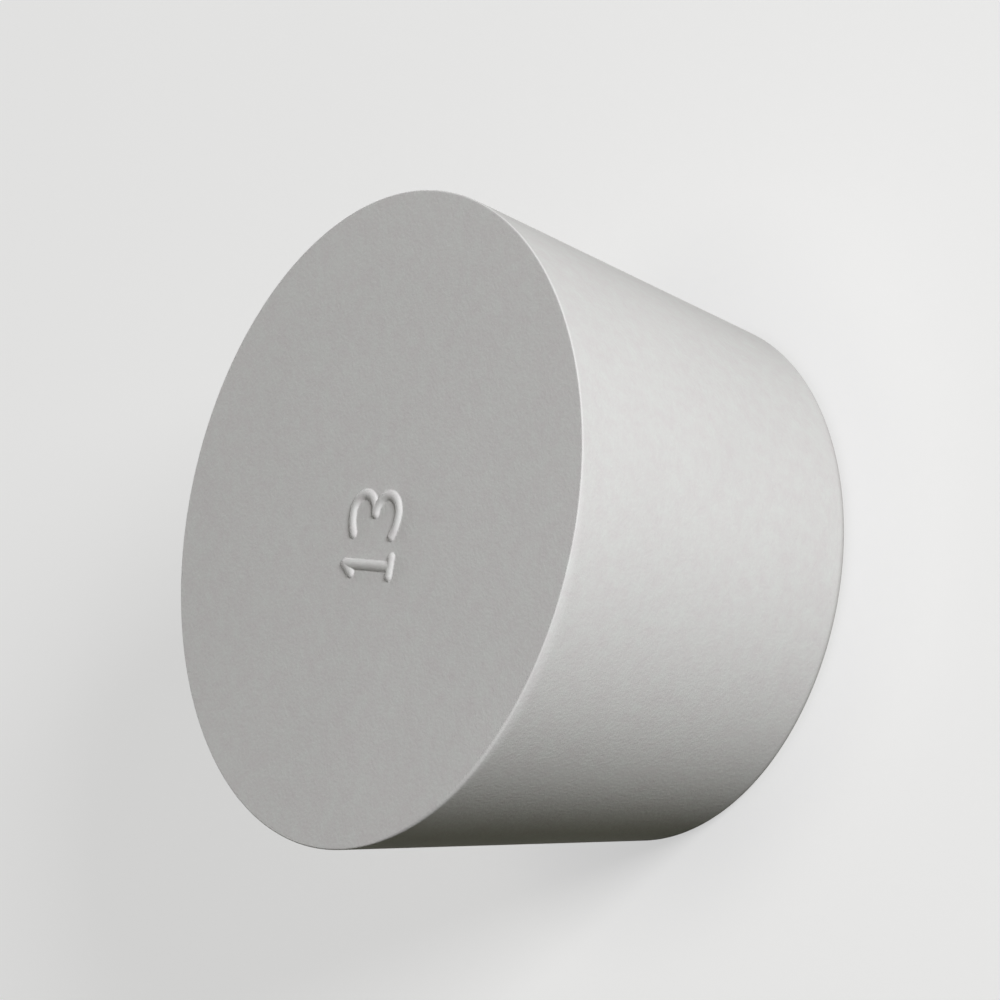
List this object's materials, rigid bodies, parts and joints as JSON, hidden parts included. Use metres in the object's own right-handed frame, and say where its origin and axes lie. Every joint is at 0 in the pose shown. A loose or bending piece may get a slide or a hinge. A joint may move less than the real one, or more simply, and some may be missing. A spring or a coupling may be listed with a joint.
{
  "type": "rubber stopper",
  "caption": "Solid tapered rubber stopper with rounded rims and its trade size number raised on the large end; plugs the neck of a flask or bottle.",
  "frame": {"origin": "centre of the small end's flat face, which the stopper stands on", "axes": "+Z along the stopper's axis, from the small end to the large end; the numerals on the large end read left to right along +X, with their tops towards +Y"},
  "size_m": [0.069, 0.069, 0.0408],
  "materials": {
    "rubber": "matt off-white moulded rubber"
  },
  "bodies": {
    "root": {"stopper": "rubber"}
  },
  "joints": []
}
